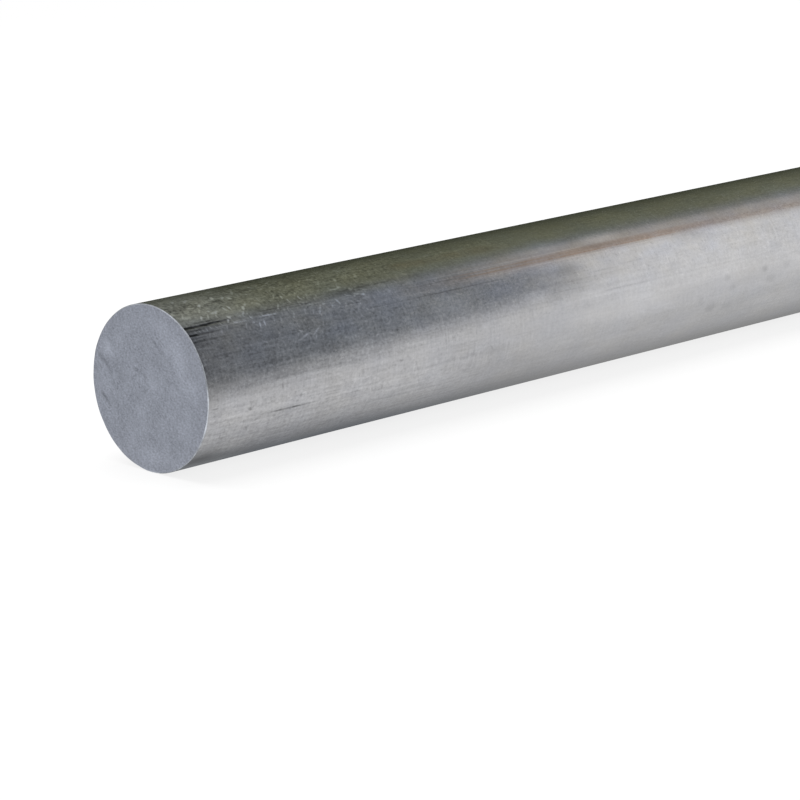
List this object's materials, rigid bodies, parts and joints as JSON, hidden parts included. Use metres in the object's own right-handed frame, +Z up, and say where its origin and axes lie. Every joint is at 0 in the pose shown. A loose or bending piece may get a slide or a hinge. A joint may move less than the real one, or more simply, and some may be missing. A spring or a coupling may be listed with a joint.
{
  "type": "round metal bar",
  "caption": "Solid round bar of drawn aluminium stock, sawn square at both ends, lying on its side; raw material to cut, turn, drill, weld or clamp.",
  "frame": {"origin": "on the floor under the middle of the bar, midway between its ends; the bar's axis is 25 mm above it", "axes": "+X along the bar, from the sawn end that the picture shows towards the far end; +Z up"},
  "size_m": [0.5, 0.05, 0.05],
  "materials": {
    "mill_finish_metal": "mill finish: satin grey with draw lines along the bar, sawn ends"
  },
  "bodies": {
    "root": {"round_bar": "mill_finish_metal"}
  },
  "joints": []
}
